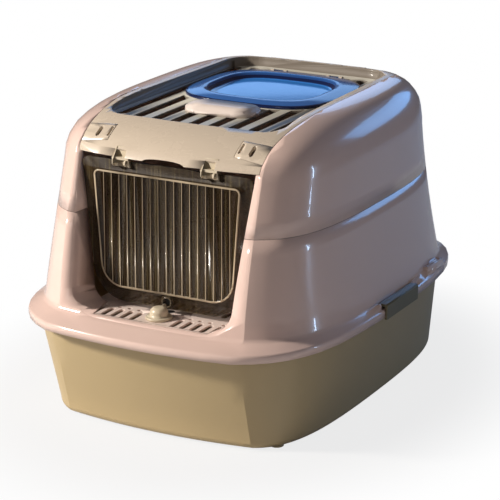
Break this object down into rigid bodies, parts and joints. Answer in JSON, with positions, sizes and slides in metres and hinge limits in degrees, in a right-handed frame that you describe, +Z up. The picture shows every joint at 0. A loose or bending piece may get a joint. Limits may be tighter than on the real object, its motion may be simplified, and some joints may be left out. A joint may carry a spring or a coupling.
{
  "type": "hooded cat litter box",
  "caption": "Hooded cat litter box with a deep pan, a two-part hood, a see-through hanging flap door, a perforated entry step and a hinged top cover with a grille and a small lid.",
  "frame": {"origin": "on the floor at the centre of the box", "axes": "front with the flap door is -Y, +X to the right of someone who faces the back, +Z up"},
  "size_m": [0.4052, 0.544, 0.3525],
  "materials": {
    "pan_plastic": "moulded, satin",
    "hood_plastic": "moulded, satin gloss",
    "cover_plastic": "moulded, satin gloss",
    "fitting_plastic": "moulded, satin gloss",
    "door_plastic": "smoky translucent, gloss",
    "keeper_plastic": "moulded, matte",
    "magnet": "sintered, dark",
    "pin_steel": "drawn wire",
    "lid_plastic": "tinted translucent, gloss",
    "latch_plastic": "moulded, satin",
    "clip_plastic": "moulded, satin"
  },
  "bodies": {
    "pan": {"base_pan": "pan_plastic"},
    "hood": {"hood_lower": "hood_plastic", "hood_upper": "hood_plastic", "entry_deck": "hood_plastic", "sill_magnet": "magnet", "cover_hinge_bracket_left": "cover_plastic", "cover_hinge_bracket_right": "cover_plastic", "cover_hinge_pin_left": "pin_steel", "cover_hinge_pin_right": "pin_steel", "clip_pin_left": "pin_steel", "clip_pin_right": "pin_steel"},
    "bolt": {"door_bolt": "fitting_plastic", "bolt_keeper": "keeper_plastic", "keeper_screw": "pin_steel"},
    "door": {"door_panel": "door_plastic", "bolt_socket": "door_plastic", "door_magnet": "magnet"},
    "cover": {"top_cover": "cover_plastic", "door_hinge_clip_left": "fitting_plastic", "door_hinge_clip_right": "fitting_plastic", "door_pin_left": "pin_steel", "door_pin_right": "pin_steel", "cover_hinge_knuckle_left": "cover_plastic", "cover_hinge_knuckle_right": "cover_plastic", "lid_hinge_bracket_left": "cover_plastic", "lid_hinge_bracket_right": "cover_plastic", "lid_hinge_pin_left": "pin_steel", "lid_hinge_pin_right": "pin_steel"},
    "button_left": {"cover_button_left": "cover_plastic"},
    "button_right": {"cover_button_right": "cover_plastic"},
    "lid": {"lid_panel": "lid_plastic"},
    "latch": {"lid_latch": "latch_plastic", "lid_latch_keeper": "keeper_plastic"},
    "clip_left": {"side_clip_left": "clip_plastic"},
    "clip_right": {"side_clip_right": "clip_plastic"}
  },
  "joints": [
    {"name": "hood_lift", "type": "slide", "parent": "pan", "child": "hood", "axis": [0, 0, 1], "range_m": [0, 0.15]},
    {"name": "clip_left_swing", "type": "hinge", "parent": "hood", "child": "clip_left", "pos_m": [-0.1934, 0.0035, 0.1305], "axis": [0, 1, 0], "range_deg": [0, 95]},
    {"name": "clip_right_swing", "type": "hinge", "parent": "hood", "child": "clip_right", "pos_m": [0.1934, 0.0035, 0.1305], "axis": [0, -1, 0], "range_deg": [0, 95]},
    {"name": "bolt_slide", "type": "slide", "parent": "hood", "child": "bolt", "axis": [0, 1, 0], "range_m": [0, 0.005]},
    {"name": "cover_hinge", "type": "hinge", "parent": "hood", "child": "cover", "pos_m": [0, 0.1863, 0.3477], "axis": [-1, 0, 0], "range_deg": [0, 95]},
    {"name": "door_swing", "type": "hinge", "parent": "cover", "child": "door", "pos_m": [0, -0.18975, 0.302], "axis": [1, 0, 0], "range_deg": [0, 80]},
    {"name": "button_left_press", "type": "slide", "parent": "cover", "child": "button_left", "axis": [0, 0, -1], "range_m": [0, 0.0025], "stiffness_N_per_m": 400, "springref_m": -0.002},
    {"name": "button_right_press", "type": "slide", "parent": "cover", "child": "button_right", "axis": [0, 0, -1], "range_m": [0, 0.0025], "stiffness_N_per_m": 400, "springref_m": -0.002},
    {"name": "lid_hinge", "type": "hinge", "parent": "cover", "child": "lid", "pos_m": [0, 0.1559, 0.3416], "axis": [-1, 0, 0], "range_deg": [0, 95]},
    {"name": "latch_slide", "type": "slide", "parent": "cover", "child": "latch", "axis": [0, -1, 0], "range_m": [0, 0.006], "stiffness_N_per_m": 150, "springref_m": -0.004}
  ]
}
